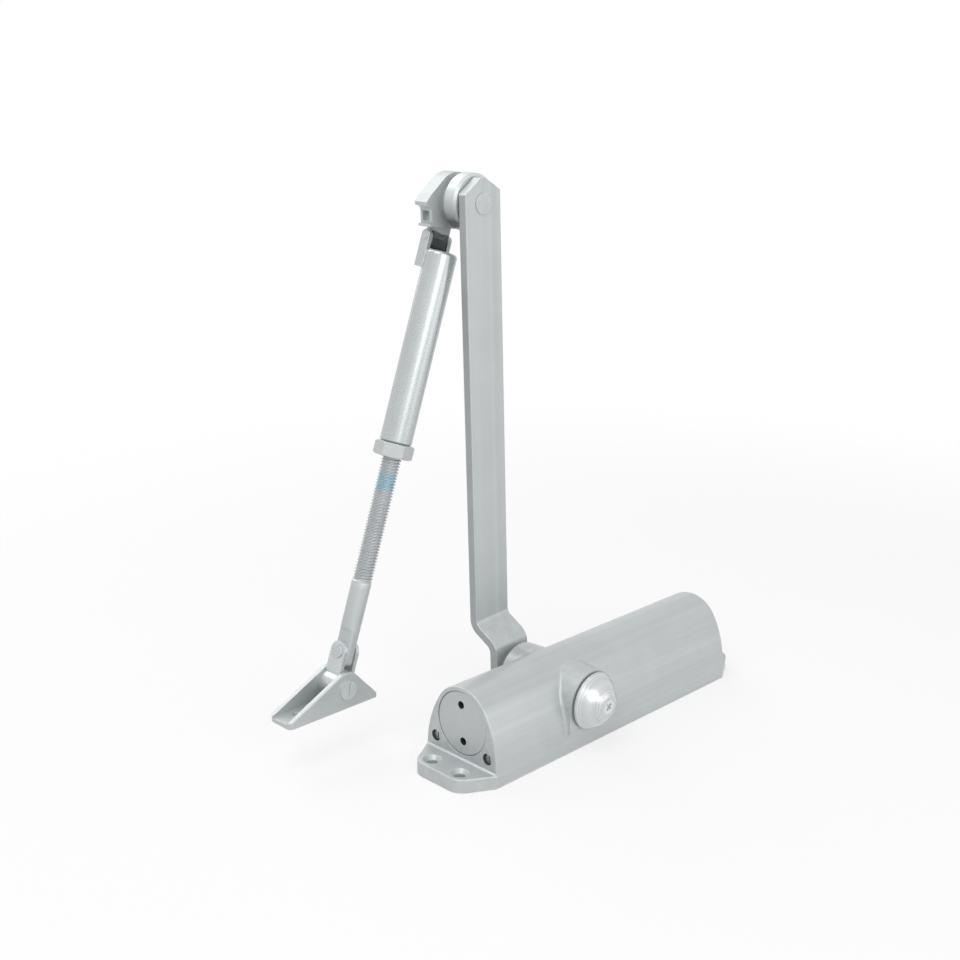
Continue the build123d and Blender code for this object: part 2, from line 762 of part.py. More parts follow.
def elbow_knuckle():
    """A ribbed head on a short neck, with a tongue that enters the fork."""
    body = plate_y(knuckle_outline(), plate_face, knuckle_back)
    body += rod_y(knuckle_neck_radius, knuckle_face, plate_face)
    for low in (knuckle_foot + 2 * rib_thickness, -rib_drop - 2 * rib_thickness - pocket_height):
        near, far = plate_face + pocket_lip, knuckle_back - pocket_wall
        body -= block(-rib_reach, -pocket_floor, near, far, low, low + pocket_height)
    stem = Pos(-forearm_shift, -pin_drop / 2) * Rectangle(2 * tongue_half, pin_drop)
    body += plate_y(stem, tongue_y - tongue_round, tongue_y + tongue_round)
    left, right = -forearm_shift - tongue_half, -forearm_shift + tongue_half
    body += rod_x(tongue_round, left, right, tongue_y, -pin_drop)
    body -= rod_y(elbow_pin_radius + running_gap, knuckle_face, knuckle_back)
    body -= rod_x(fork_pin_radius + running_gap, -fork_width, fork_width, tongue_y, -pin_drop)
    return elbow_frame * body


# --------------------------------------------------------------------- forearm
def forearm_tube():
    """A turned tube with an offset fork at its top, threaded inside its lower end."""
    near, far = fork_offset - tongue_round, fork_offset + tongue_round
    half, slot = fork_width / 2, fork_gap / 2
    tube = rod_z(tube_radius, tube_end, -tube_head_drop)
    tube = fillet(tube.edges().sort_by(Axis.Z)[-1], tube_head_radius)
    tube = chamfer(tube.edges().sort_by(Axis.Z)[0], tube_end_chamfer)
    body = tube + block(-half, half, near, far, -fork_foot_drop, 0)
    body += rod_x(tongue_round, -half, half, fork_offset, 0)
    body -= block(-slot, slot, near, far, -tube_head_drop, tongue_round)
    body -= rod_x(fork_pin_radius, -half, half, fork_offset, 0)
    thread_top = tube_end + tube_thread_length
    body -= rod_z(rod_radius + running_gap, tube_end, thread_top)
    body -= rod_z(rod_radius + tube_relief, thread_top, -tube_head_drop - tube_end_wall)
    return forearm_frame * body


def fork_pin():
    """The riveted cross pin of the fork."""
    half = fork_width / 2
    pin = rod_x(fork_pin_radius, -half, half)
    for side in (-1, 1):
        pin += rod_x(fork_pin_head_radius, side * half, side * (half + fork_pin_head))
    return forearm_frame * Pos(0, fork_offset, 0) * pin


def lock_nut():
    """A hexagon nut with chamfered corners, run up against the tube."""
    corner = nut_flats / sqrt(3)
    edge = corner - nut_flats / 2
    outline = Rot(0, 0, nut_turn) * RegularPolygon(nut_flats / 2, 6, major_radius=False)
    hexagon = Pos(0, 0, nut_top - nut_height) * extrude(outline, amount=nut_height)
    barrel = rod_z(corner, nut_top - nut_height, nut_top)
    barrel = chamfer(barrel.edges(), edge / 2, edge)
    nut = (hexagon & barrel) - rod_z(rod_radius + running_gap, nut_top - nut_height, nut_top)
    return forearm_frame * nut


def adjusting_rod():
    """The screwed rod, pressed flat at its lower end for the swivel."""
    end = -rivet_drop - rod_flat_tail
    rod = rod_z(rod_radius, -rod_shank_drop, -rod_top_drop)
    thick, wide = rod_flat_thickness / 2, rod_flat_width / 2
    flat = block(-thick, thick, -wide, wide, end, -rod_shank_drop)
    corners = flat.edges().filter_by(Axis.X).sort_by(Axis.Z)[:2]
    rod += fillet(corners, rod_flat_corner)
    rod -= rod_x(rivet_radius + running_gap, -rod_radius, rod_radius, 0, -rivet_drop)
    return forearm_frame * rod


# ------------------------------------------------------------- swivel and shoe
def swivel():
    """Two ears on the rod's flat end, joined by a barrel across the shoe."""
    inner = rod_flat_thickness / 2 + running_gap
    outer = inner + ear_thickness
    half_barrel = shoe_channel / 2 - assembly_gap
    body = rod_y(barrel_radius, -half_barrel, half_barrel, 0, -barrel_drop)
    for side in (-1, 1):
        ear = rod_x(ear_radius, side * inner, side * outer)
        ear += block(side * inner, side * outer, -ear_radius, ear_radius, -barrel_drop, 0)
        body += ear
    body -= rod_y(shoe_screw_radius + running_gap, -half_barrel, half_barrel, 0, -barrel_drop)
    body -= rod_x(rivet_radius, -outer, outer)
    return rivet_frame * body


def rod_rivet():
    """The rivet through the ears and the rod."""
    outer = rod_flat_thickness / 2 + running_gap + ear_thickness
    rivet = rod_x(rivet_radius, -outer, outer)
    for side in (-1, 1):
        rivet += rod_x(rivet_head_radius, side * outer, side * (outer + rivet_head_height))
    return rivet_frame * rivet


def shoe():
    """A bent channel: a drilled base and two side plates that carry the swivel."""
    base = -shoe_axis_height
    outer, inner = shoe_channel / 2 + shoe_plate, shoe_channel / 2
    toe = Line((-shoe_toe, base), (-shoe_toe, base + shoe_toe_height))
    heel = Line((shoe_heel, base), (shoe_heel, base + shoe_heel_height))
    side_face = make_hull(toe.edges() + heel.edges() + Circle(shoe_eye_radius).edges())
    body = plate_y(side_face, -outer, outer)
    body = fillet(body.edges().filter_by(Axis.Z).sort_by(Axis.X)[:2], shoe_corner_radius)
    sides = body.faces().sort_by(Axis.Y)
    body = fillet(sides[0].edges() + sides[-1].edges(), shoe_edge_radius)
    body -= block(-shoe_toe, shoe_heel, -inner, inner, base + shoe_plate, shoe_eye_radius)
    body -= rod_y(shoe_screw_radius, -outer, outer)
    front = -shoe_toe + shoe_hole_inset
    for x in (front, front + shoe_hole_spacing):
        body -= rod_z(shoe_hole_radius, base, base + shoe_plate, x)
    return shoe_frame * body


def shoe_screw():
    """The slotted screw that the swivel turns on."""
    outer = shoe_channel / 2 + shoe_plate
    head = -outer - shoe_screw_head_height
    screw = rod_y(shoe_screw_radius, -outer, outer)
    screw += rod_y(shoe_screw_head_radius, head, -outer)
    reach, half_slot = shoe_screw_head_radius, slot_width / 2
    slot = block(-reach, reach, head, head + slot_depth, -half_slot, half_slot)
    return shoe_frame * (screw - Rot(0, -slot_turn, 0) * slot)


# --------------------------------------------------------------------- write out
seal = plug_seal()
half_valves = valve_spread / 2

save("housing", housing())
save("spring_end_plug", end_plug())
save("valve_end_plug", mirror(end_plug(), Plane.YZ))
save("plug_seals", Compound(children=[seal, mirror(seal, Plane.YZ)]))
save("speed_valve", valve(half_valves))
save("speed_valve_seal", valve_seal(half_valves))
save("latch_valve", valve(-half_valves))
save("latch_valve_seal", valve_seal(-half_valves))

bore = journal_radius + running_gap
bearings = [collar(spindle_bore_radius, bore, s * bearing_start, s * seal_start) for s in (-1, 1)]
seals = [collar(spindle_bore_radius, bore, s * seal_start, s * gland_start) for s in (-1, 1)]
save("pinion_bearings", Compound(children=bearings))
save("pinion_seals", Compound(children=seals))
save("gland_nut_cap", gland_nut(-1, cap_boss_reach))
save("gland_nut_arm", gland_nut(1, arm_boss_reach))

save("pinion", pinion())
save("piston", piston())
save("check_ball", check_ball())
save("check_clip", check_clip())
save("spring_seat", spring_seat())
save("closing_spring", closing_spring())

save("pinion_cap", pinion_cap())
save("cap_screw", cap_screw())
save("main_arm", main_arm())
save("arm_washer", arm_washer())
save("arm_screw", arm_screw())

save("elbow_pin", elbow_pin())
save("elbow_washer", elbow_ring(elbow_washer_radius, blade_back, disc_face, elbow_washer_edge))
save("elbow_disc", elbow_ring(elbow_disc_radius, disc_face, disc_back, elbow_disc_edge))
save("elbow_knuckle", elbow_knuckle())

save("forearm_tube", forearm_tube())
save("fork_pin", fork_pin())
save("lock_nut", lock_nut())
save("adjusting_rod", adjusting_rod())
save("swivel", swivel())
save("rod_rivet", rod_rivet())
save("shoe", shoe())
save("shoe_screw", shoe_screw())
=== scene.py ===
# a door closer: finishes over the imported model, its threaded rod, and a plain studio
import json
import math

import bmesh
import bpy
from mathutils import Matrix, Vector


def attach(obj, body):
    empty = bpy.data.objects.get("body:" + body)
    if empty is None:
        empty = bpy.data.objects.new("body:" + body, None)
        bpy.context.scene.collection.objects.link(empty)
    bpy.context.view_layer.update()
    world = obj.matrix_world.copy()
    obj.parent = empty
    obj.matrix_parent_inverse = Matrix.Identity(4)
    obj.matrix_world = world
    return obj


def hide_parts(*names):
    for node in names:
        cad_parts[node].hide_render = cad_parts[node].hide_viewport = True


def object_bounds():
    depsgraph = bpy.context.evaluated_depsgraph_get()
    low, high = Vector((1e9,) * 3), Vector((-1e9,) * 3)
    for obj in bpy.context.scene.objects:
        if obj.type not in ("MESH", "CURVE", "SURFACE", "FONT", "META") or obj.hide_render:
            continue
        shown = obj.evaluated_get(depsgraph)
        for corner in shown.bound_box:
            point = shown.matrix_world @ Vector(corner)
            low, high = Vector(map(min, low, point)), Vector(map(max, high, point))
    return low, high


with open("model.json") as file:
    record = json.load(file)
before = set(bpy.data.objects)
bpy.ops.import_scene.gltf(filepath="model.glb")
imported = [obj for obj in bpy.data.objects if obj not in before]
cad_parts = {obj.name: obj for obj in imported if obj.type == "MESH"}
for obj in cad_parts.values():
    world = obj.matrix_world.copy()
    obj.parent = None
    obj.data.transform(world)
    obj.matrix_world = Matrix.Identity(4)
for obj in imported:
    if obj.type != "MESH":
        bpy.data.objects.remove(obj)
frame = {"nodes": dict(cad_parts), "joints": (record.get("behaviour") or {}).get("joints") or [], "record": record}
cadLow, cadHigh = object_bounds()
nodes = frame["nodes"]
print("frame loaded:", len(nodes), "nodes")

scene = bpy.context.scene
mm = 0.001


def joint(name):
    return next(j for j in frame["joints"] if j["name"] == name)


def placeAt(spot, x, y, z):
    # a frame with its origin on a spot and these three axes
    return Matrix.Translation(Vector(spot)) @ Matrix((x, y, z)).transposed().to_4x4()


def addObject(name, mesh, body=None):
    piece = bpy.data.objects.new(name, mesh)
    scene.collection.objects.link(piece)
    if body:
        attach(piece, body)
    return piece


def skin(name, rings):
    # closed skin over rings of points, all with the same number of points
    mesh = bpy.data.meshes.new(name)
    bm = bmesh.new()
    made = [[bm.verts.new(spot) for spot in ring] for ring in rings]
    count = len(rings[0])
    for low, high in zip(made, made[1:]):
        for k in range(count):
            n = (k + 1) % count
            bm.faces.new((low[k], low[n], high[n], high[k]))
    bm.faces.new(list(reversed(made[0])))
    bm.faces.new(made[-1])
    bmesh.ops.recalc_face_normals(bm, faces=bm.faces)
    bm.to_mesh(mesh)
    bm.free()
    return mesh


def shadeByAngle(mesh, angle):
    # smooth faces with hard edges where the surface turns sharply
    bm = bmesh.new()
    bm.from_mesh(mesh)
    limit = math.radians(angle)
    for face in bm.faces:
        face.smooth = True
    for edge in bm.edges:
        edge.smooth = edge.is_manifold and edge.calc_face_angle(0) < limit
    bm.to_mesh(mesh)
    bm.free()


def bore(piece, cutter):
    # cut one mesh from another and keep the result as a plain mesh
    other = bpy.data.objects.new("cutter", cutter)
    scene.collection.objects.link(other)
    cut = piece.modifiers.new("bore", "BOOLEAN")
    cut.operation = "DIFFERENCE"
    cut.solver = "EXACT"
    cut.object = other
    bpy.context.view_layer.update()
    finished = piece.evaluated_get(bpy.context.evaluated_depsgraph_get())
    drawn = bpy.data.meshes.new_from_object(finished)
    piece.modifiers.clear()
    piece.data = drawn
    bpy.data.objects.remove(other)


def circle(radius, height, place, segments=48):
    turns = [2 * math.pi * k / segments for k in range(segments)]
    return [place @ Vector((radius * math.cos(t), radius * math.sin(t), height)) for t in turns]


class Nodes:
    # a short way to lay out shader nodes
    def __init__(self, tree):
        self.tree = tree

    def add(self, kind, **settings):
        node = self.tree.nodes.new(kind)
        for name, value in settings.items():
            setattr(node, name, value)
        return node

    def link(self, a, b):
        self.tree.links.new(a, b)

    def give(self, socket, value):
        # value is another socket, a number, a colour or a vector
        if isinstance(value, bpy.types.NodeSocket):
            self.link(value, socket)
        else:
            socket.default_value = value

    def maths(self, operation, *values, clamp=False):
        node = self.add("ShaderNodeMath", operation=operation, use_clamp=clamp)
        for socket, value in zip(node.inputs, values):
            self.give(socket, value)
        return node.outputs[0]

    def vector(self, operation, first, second=None):
        node = self.add("ShaderNodeVectorMath", operation=operation)
        self.give(node.inputs[0], first)
        if second is not None:
            self.give(node.inputs["Scale" if operation == "SCALE" else 1], second)
        return node.outputs["Value" if operation in ("DOT_PRODUCT", "LENGTH") else "Vector"]

    def place(self):
        # where a point lies in the shared frame, in metres
        return self.add("ShaderNodeTexCoord").outputs["Object"]

    def noise(self, place, scale, detail):
        node = self.add("ShaderNodeTexNoise")
        self.give(node.inputs["Vector"], place)
        node.inputs["Scale"].default_value = scale
        node.inputs["Detail"].default_value = detail
        return node.outputs["Fac"]

    def mixShader(self, *values):
        # a share, then the shader for none of it and the shader for all of it
        node = self.add("ShaderNodeMixShader")
        for socket, value in zip(node.inputs, values):
            self.link(value, socket)
        return node.outputs[0]


def newGroup(name, inputs, outputs):
    # an empty group, and what goes in and comes out of it
    group = bpy.data.node_groups.new(name, "ShaderNodeTree")
    for label, kind, value in inputs:
        socket = group.interface.new_socket(label, in_out="INPUT", socket_type=kind)
        socket.default_value = value
    for label, kind in outputs:
        group.interface.new_socket(label, in_out="OUTPUT", socket_type=kind)
    n = Nodes(group)
    return group, n, n.add("NodeGroupInput").outputs, n.add("NodeGroupOutput").inputs


surfaceOutputs = [
    ("Colour", "NodeSocketColor"),
    ("Roughness", "NodeSocketFloat"),
    ("Height", "NodeSocketFloat"),
]

grainPlan = {
    "flakeScale": 2600,
    "cloudScale": 60,
    "peelScale": 700,
    "lineScale": 250,
    "linePress": 0.988,     # how flat the noise is pressed along a drawn line
    "roughSpread": 0.15,
}


def paintGrain():
    # fine flake and soft unevenness of a sprayed metallic paint
    plan = grainPlan
    group, n, inside, outside = newGroup(
        "paintGrain",
        [
            ("Scale", "NodeSocketFloat", 1.0),
            ("Colour", "NodeSocketColor", (0.5, 0.5, 0.5, 1)),
            ("Variation", "NodeSocketFloat", 0.05),
            ("Roughness", "NodeSocketFloat", 0.4),
            ("Direction", "NodeSocketVector", (0, 0, 0)),
            ("Streak", "NodeSocketFloat", 0.0),
        ],
        surfaceOutputs,
    )
    place = n.place()
    scaled = n.vector("SCALE", place, inside["Scale"])
    flake = n.noise(scaled, plan["flakeScale"], 2)
    cloud = n.noise(scaled, plan["cloudScale"], 4)
    peel = n.noise(scaled, plan["peelScale"], 2)
    uneven = n.maths("SUBTRACT", n.maths("ADD", flake, cloud), 1.0)
    shade = n.maths("MULTIPLY_ADD", uneven, inside["Variation"], 1.0)
    # drawn lines: noise pressed flat along one direction
    along = n.vector("DOT_PRODUCT", place, inside["Direction"])
    length = n.vector("SCALE", inside["Direction"], along)
    pressed = n.vector("SUBTRACT", place, n.vector("SCALE", length, plan["linePress"]))
    line = n.maths("SUBTRACT", n.noise(pressed, plan["lineScale"], 5), 0.5)
    lined = n.maths("MULTIPLY_ADD", line, inside["Streak"], shade)
    n.link(n.vector("SCALE", inside["Colour"], lined), outside["Colour"])
    rough = n.maths("MULTIPLY_ADD", uneven, plan["roughSpread"], inside["Roughness"])
    n.link(rough, outside["Roughness"])
    n.link(peel, outside["Height"])
    return group


ringRoughSpread = 0.2


def turnedRings():
    # lathe rings about an axis, given by a point and a direction
    group, n, inside, outside = newGroup(
        "turnedRings",
        [
            ("Centre", "NodeSocketVector", (0, 0, 0)),
            ("Axis", "NodeSocketVector", (0, 1, 0)),
            ("Pitch", "NodeSocketFloat", 0.0004),
            ("Colour", "NodeSocketColor", (0.5, 0.5, 0.5, 1)),
            ("Variation", "NodeSocketFloat", 0.1),
            ("Roughness", "NodeSocketFloat", 0.3),
        ],
        surfaceOutputs,
    )
    place = n.place()
    offset = n.vector("SUBTRACT", place, inside["Centre"])
    along = n.vector("DOT_PRODUCT", offset, inside["Axis"])
    radius = n.vector("LENGTH", n.vector("CROSS_PRODUCT", offset, inside["Axis"]))
    count = n.maths("DIVIDE", n.maths("SUBTRACT", radius, along), inside["Pitch"])
    wave = n.add("ShaderNodeTexNoise", noise_dimensions="1D")
    n.link(count, wave.inputs["W"])
    wave.inputs["Scale"].default_value = 1.0
    wave.inputs["Detail"].default_value = 3
    uneven = n.maths("SUBTRACT", wave.outputs["Fac"], 0.5)
    shade = n.maths("MULTIPLY_ADD", uneven, inside["Variation"], 1.0)
    n.link(n.vector("SCALE", inside["Colour"], shade), outside["Colour"])
    rough = n.maths("MULTIPLY_ADD", uneven, ringRoughSpread, inside["Roughness"])
    n.link(rough, outside["Roughness"])
    n.link(wave.outputs["Fac"], outside["Height"])
    return group


edgeRadius = 0.4 * mm


def softEdges():
    # a rounded normal and a mask along the sharp edges of a piece
    group, n, inside, outside = newGroup(
        "softEdges",
        [("Width", "NodeSocketFloat", 1.0)],
        [("Edge", "NodeSocketFloat"), ("Normal", "NodeSocketVector")],
    )
    rounded = n.add("ShaderNodeBevel", samples=6)
    rounded.inputs["Radius"].default_value = edgeRadius
    facing = n.add("ShaderNodeNewGeometry").outputs["Normal"]
    away = n.maths("SUBTRACT", 1.0, n.vector("DOT_PRODUCT", rounded.outputs[0], facing))
    n.link(n.maths("MULTIPLY", away, inside["Width"], clamp=True), outside["Edge"])
    n.link(rounded.outputs[0], outside["Normal"])
    return group


bandPlan = {
    "raggedScale": 420,
    "raggedReach": 3.0 * mm,
    "patchFrom": 0.36,      # below this level of the noise a band is as thin as Thin says
    "patchTo": 0.56,        # and above this one it is whole
}


def coatAndShadeBand():
    # a mask between two heights along an axis, with an uneven edge and thin patches; it lays the thread lock, and
    # painted shade on the knuckle and the disc
    plan = bandPlan
    group, n, inside, outside = newGroup(
        "coatAndShadeBand",
        [
            ("Centre", "NodeSocketVector", (0, 0, 0)),
            ("Axis", "NodeSocketVector", (0, 0, 1)),
            ("Low", "NodeSocketFloat", 0.0),
            ("High", "NodeSocketFloat", 0.01),
            ("Soft", "NodeSocketFloat", 0.001),
            ("Thin", "NodeSocketFloat", 0.15),
        ],
        [("Mask", "NodeSocketFloat")],
    )
    place = n.place()
    along = n.vector("DOT_PRODUCT", n.vector("SUBTRACT", place, inside["Centre"]), inside["Axis"])
    ragged = n.noise(place, plan["raggedScale"], 2)
    height = n.maths("MULTIPLY_ADD", ragged, plan["raggedReach"], along)
    above = n.maths("SUBTRACT", height, inside["Low"])
    below = n.maths("SUBTRACT", inside["High"], height)
    ends = [n.maths("DIVIDE", past, inside["Soft"], clamp=True) for past in (above, below)]
    patch = n.add("ShaderNodeMapRange")
    n.link(ragged, patch.inputs["Value"])
    patch.inputs["From Min"].default_value = plan["patchFrom"]
    patch.inputs["From Max"].default_value = plan["patchTo"]
    n.link(inside["Thin"], patch.inputs["To Min"])
    mask = n.maths("MULTIPLY", n.maths("MULTIPLY", *ends), patch.outputs["Result"])
    n.link(mask, outside["Mask"])
    return group


grainGroup = paintGrain()
ringGroup = turnedRings()
edgeGroup = softEdges()
bandGroup = coatAndShadeBand()


def newMaterial(name, metallic):
    made = bpy.data.materials.new(name)
    made.use_nodes = True
    shader = made.node_tree.nodes["Principled BSDF"]
    shader.inputs["Metallic"].default_value = metallic
    return made, Nodes(made.node_tree), shader


def mixColour(n, share, low, high):
    mix = n.add("ShaderNodeMix", data_type="RGBA")
    n.link(share, mix.inputs["Factor"])
    n.give(mix.inputs[6], low)      # 6 and 7 are the colours of a Mix node
    n.give(mix.inputs[7], high)
    return mix.outputs[2]


def useGroup(n, shader, group, bump, values, edge=None):
    # put a finish on a shader and give back its colour
    node = n.add("ShaderNodeGroup", node_tree=group)
    for label, value in values.items():
        node.inputs[label].default_value = value
    colour = node.outputs["Colour"]
    n.link(colour, shader.inputs["Base Color"])
    n.link(node.outputs["Roughness"], shader.inputs["Roughness"])
    lift = n.add("ShaderNodeBump")
    lift.inputs["Strength"].default_value = 1.0
    lift.inputs["Distance"].default_value = bump
    n.link(node.outputs["Height"], lift.inputs["Height"])
    if edge:
        border = n.add("ShaderNodeGroup", node_tree=edgeGroup)
        border.inputs["Width"].default_value = edge["width"]
        n.link(border.outputs["Normal"], lift.inputs["Normal"])
        # painted highlight: edges are mixed towards a lighter colour
        highlighted = mixColour(n, border.outputs["Edge"], colour, edge["colour"])
        n.link(highlighted, shader.inputs["Base Color"])
    n.link(lift.outputs["Normal"], shader.inputs["Normal"])
    return colour


silver = {
    "Colour": (0.480, 0.505, 0.512, 1),
    "Roughness": 0.33,
    "Variation": 0.12,
    "Scale": 1.0,
}
silverMetallic = 0.25
# painted highlight: a lighter colour along sharp edges, for the light they catch
edgeHighlight = {"width": 2.6, "colour": (0.78, 0.81, 0.82, 1)}
platedBump = 0.02 * mm
drawnStreak = 0.32


def silverPaint(name, bump, metallic=silverMetallic, **changed):
    made, n, shader = newMaterial(name, metallic)
    useGroup(n, shader, grainGroup, bump, {**silver, **changed}, edgeHighlight)
    return made


def metalValues(colour, roughness, variation=0.12):
    return {"Colour": (*colour, 1), "Roughness": roughness, "Variation": variation, "Scale": 1.5}


def metal(name, colour, roughness, variation=0.12, metallic=1.0):
    made, n, shader = newMaterial(name, metallic)
    useGroup(n, shader, grainGroup, platedBump, metalValues(colour, roughness, variation))
    return made


def bandedFinish(name, values, bump, metallic, place, band):
    # a grained finish with a band over it, between two heights above a place
    made, n, shader = newMaterial(name, metallic)
    colour = useGroup(n, shader, grainGroup, bump, values)
    node = n.add("ShaderNodeGroup", node_tree=bandGroup)
    node.inputs["Centre"].default_value = place.translation
    node.inputs["Axis"].default_value = place.col[2].to_3d()
    for label in ("Low", "High", "Soft", "Thin"):
        node.inputs[label].default_value = band[label]
    n.link(mixColour(n, node.outputs["Mask"], colour, band["colour"]), shader.inputs["Base Color"])
    return made


pinionSpot = tuple(joint("main_pivot")["pos_m"])
capTurning = {
    "Centre": pinionSpot,
    "Axis": (0, 1, 0),
    "Pitch": 0.3 * mm,
    "Colour": (0.58, 0.60, 0.61, 1),
    "Roughness": 0.24,
    "Variation": 0.25,
}


def turnedMetal(name, values, bump, metallic):
    made, n, shader = newMaterial(name, metallic)
    useGroup(n, shader, ringGroup, bump, values)
    return made


armLine = Vector(joint("elbow_pivot")["pos_m"]) - Vector(pinionSpot)
armLine.y = 0
armLine.normalize()

# the sprayed parts; a length is how far the finish stands up
paint = silverPaint("silverPaint", 0.04 * mm)
castPaint = silverPaint("castPaint", 0.08 * mm)
bodyPaint = silverPaint("drawnBodyPaint", 0.06 * mm, Direction=(1, 0, 0), Streak=drawnStreak)
armPaint = silverPaint("drawnArmPaint", 0.04 * mm, Direction=tuple(armLine), Streak=drawnStreak)
# painted shade: a darker copy of the silver paint for the arm's narrow sides
shadedSidePaint = silverPaint(
    "shadedSidePaint", 0.1 * mm, Colour=(0.355, 0.375, 0.38, 1), Roughness=0.45, Variation=0.3
)
tubePaint = silverPaint("tubePaint", 0.03 * mm, metallic=0.55, Roughness=0.27)
hammered = silverPaint("hammeredPaint", 0.6 * mm, Variation=1.3, Scale=0.45)
peened = silverPaint("peenedPaint", 0.3 * mm, Variation=0.55, Scale=0.5)
# painted highlight: a lighter paint for the foot blends, for the light line they catch
blendHighlightPaint = silverPaint("blendHighlightPaint", 0.02 * mm, Colour=(0.64, 0.67, 0.68, 1))

# the metal parts
turnedCap = turnedMetal("turnedAluminium", capTurning, 0.06 * mm, metallic=0.5)
swivelPaint = metal("swivelPaint", (0.58, 0.605, 0.615), roughness=0.27, variation=0.25, metallic=0.6)
zinc = metal("brightZinc", (0.58, 0.60, 0.62), roughness=0.34, metallic=0.85)
screwZinc = metal("screwZinc", (0.66, 0.68, 0.69), roughness=0.38, variation=0.3, metallic=0.55)
# painted shade: near black, for the inside of holes and recesses
recessShade = metal("recessShadePaint", (0.055, 0.058, 0.062), roughness=0.5, metallic=0.3)
# painted shade: near black, for the shade in and around the fork
forkShade = metal("forkShadePaint", (0.10, 0.105, 0.11), roughness=0.28, metallic=0.8)
steel = metal("plainSteel", (0.42, 0.42, 0.43), roughness=0.35)
bronze = metal("bearingBronze", (0.56, 0.36, 0.16), roughness=0.35)
rubber = metal("sealRubber", (0.02, 0.02, 0.02), roughness=0.6, metallic=0.0)
print("materials made")

finishes = {
    "silver_paint": paint,
    "cast_aluminium": castPaint,
    "turned_aluminium": turnedCap,
    "zinc_steel": zinc,
    "plain_steel": steel,
    "bearing_bronze": bronze,
    "seal_rubber": rubber,
}
ownFinish = {
    "housing": bodyPaint,
    "main_arm": armPaint,
    "rod_rivet": hammered,
    "elbow_pin": peened,
    "swivel": swivelPaint,
    "forearm_tube": tubePaint,
    "shoe_screw": screwZinc,
    "cap_screw": screwZinc,
}
slots = {s["node"]: s["material_slot"] for s in frame["record"]["subparts"]}
for name, node in nodes.items():
    node.data.materials.clear()
    node.data.materials.append(ownFinish.get(name, finishes[slots[name]]))


def repaint(name, material, chosen):
    # give some faces of a piece a second material, chosen by centre and normal
    mesh = nodes[name].data
    mesh.materials.append(material)
    for face in mesh.polygons:
        if chosen(face.center, face.normal):
            face.material_index = len(mesh.materials) - 1


def paintShadedSides():
    # painted shade: the bar's two long narrow sides get a darker paint than its faces, for the shade they fall in
    across = armLine.cross(Vector((0, 1, 0)))
    squareOn = 0.9      # cosine of the most that such a face may turn away

    def isShadedSide(spot, normal):
        return abs(normal.dot(across)) > squareOn

    repaint("main_arm", shadedSidePaint, isShadedSide)


holePlan = {
    "plugHoleNear": 6.5 * mm,       # spanner holes lie between these distances from the bore axis
    "plugHoleFar": 12.5 * mm,
    "plugHoleDepth": 4.1 * mm,
    "recessRadius": 3.0 * mm,
    "recessDepth": 1.7 * mm,
    "recessProud": 0.25 * mm,       # dark faces start just inside the casting's end face
    "plugSkin": 0.1 * mm,           # and just inside the plug's own face
}


def plugFace(name):
    # outer face of an end plug and the side it looks to
    across = [v.co.x for v in nodes[name].data.vertices]
    low, high = min(across), max(across)
    side = math.copysign(1, low + high)
    return (high if side > 0 else low), side


def paintRecessShade():
    # painted shade: the inside faces of the spanner holes and the valve recesses get a near-black colour
    plan = holePlan
    for name in ("valve_end_plug", "spring_end_plug"):
        face, side = plugFace(name)

        def inHole(spot, normal):
            depth = (face - spot.x) * side
            away = math.hypot(spot.y - pinionSpot[1], spot.z - pinionSpot[2])
            deep = plan["plugSkin"] < depth < plan["plugHoleDepth"]
            return deep and plan["plugHoleNear"] < away < plan["plugHoleFar"]

        repaint(name, recessShade, inHole)
    face, side = plugFace("valve_end_plug")
    valves = [joint(name)["pos_m"] for name in ("speed_valve_turn", "latch_valve_turn")]

    def inRecess(spot, normal):
        depth = (face - spot.x) * side
        near = min(math.hypot(spot.y - y, spot.z - z) for _, y, z in valves)
        return -plan["recessProud"] < depth < plan["recessDepth"] and near < plan["recessRadius"]

    repaint("housing", recessShade, inRecess)


paintShadedSides()
paintRecessShade()
print("finishes laid on")

rodPlan = {
    "pitch": 1.5 * mm,
    "crest": 4.98 * mm,
    "depth": 0.92 * mm,
    "segments": 40,
    "fadeFrom": 1.2,        # the thread fades at its ends; these three are in pitches
    "fadeLow": 1.5,
    "fadeHigh": 1.0,
    "topRoom": 0.1 * mm,
    "startRoom": 0.4 * mm,
    "flatThickness": 5.5 * mm,
    "flatWidth": 9.9 * mm,
    "flatSquare": 0.62,     # how square the pressed end is, from 0 for round
    "pressSteps": 6,
    "tailRound": 2.5 * mm,
    "tailTurns": (0, 20, 40, 60, 75, 90),   # degrees at which the tail's round has a ring
    "rivetRadius": 2.25 * mm,
    "rivetReach": 8.0 * mm,
    "top": 148.2 * mm,      # from here on, heights above the rivet, along the rod
    "threadEnd": 33.4 * mm,
    "paintedTo": 33.2 * mm,
    "shankEnd": 13.2 * mm,
    "flatStart": 10.2 * mm,
    "flatMiddle": (4.0 * mm, 0.0, -3.0 * mm),
    "flatEnd": -6.8 * mm,
}


def pinPlace(name, z):
    # z up the forearm, x along a joint's pin, origin on the pin
    x = Vector(joint(name)["axis"]).normalized()
    x = (x - z * x.dot(z)).normalized()
    return placeAt(joint(name)["pos_m"], x, z.cross(x), z)


def rodPlace():
    z = Vector(joint("rod_adjust")["axis"]).normalized()
    if z.z < 0:
        z = -z
    return pinPlace("rivet_tilt", z)


def forkPlace():
    return pinPlace("fork_tilt", rodPlace().col[2].to_3d())


def share01(value):
    return min(1.0, max(0.0, value))


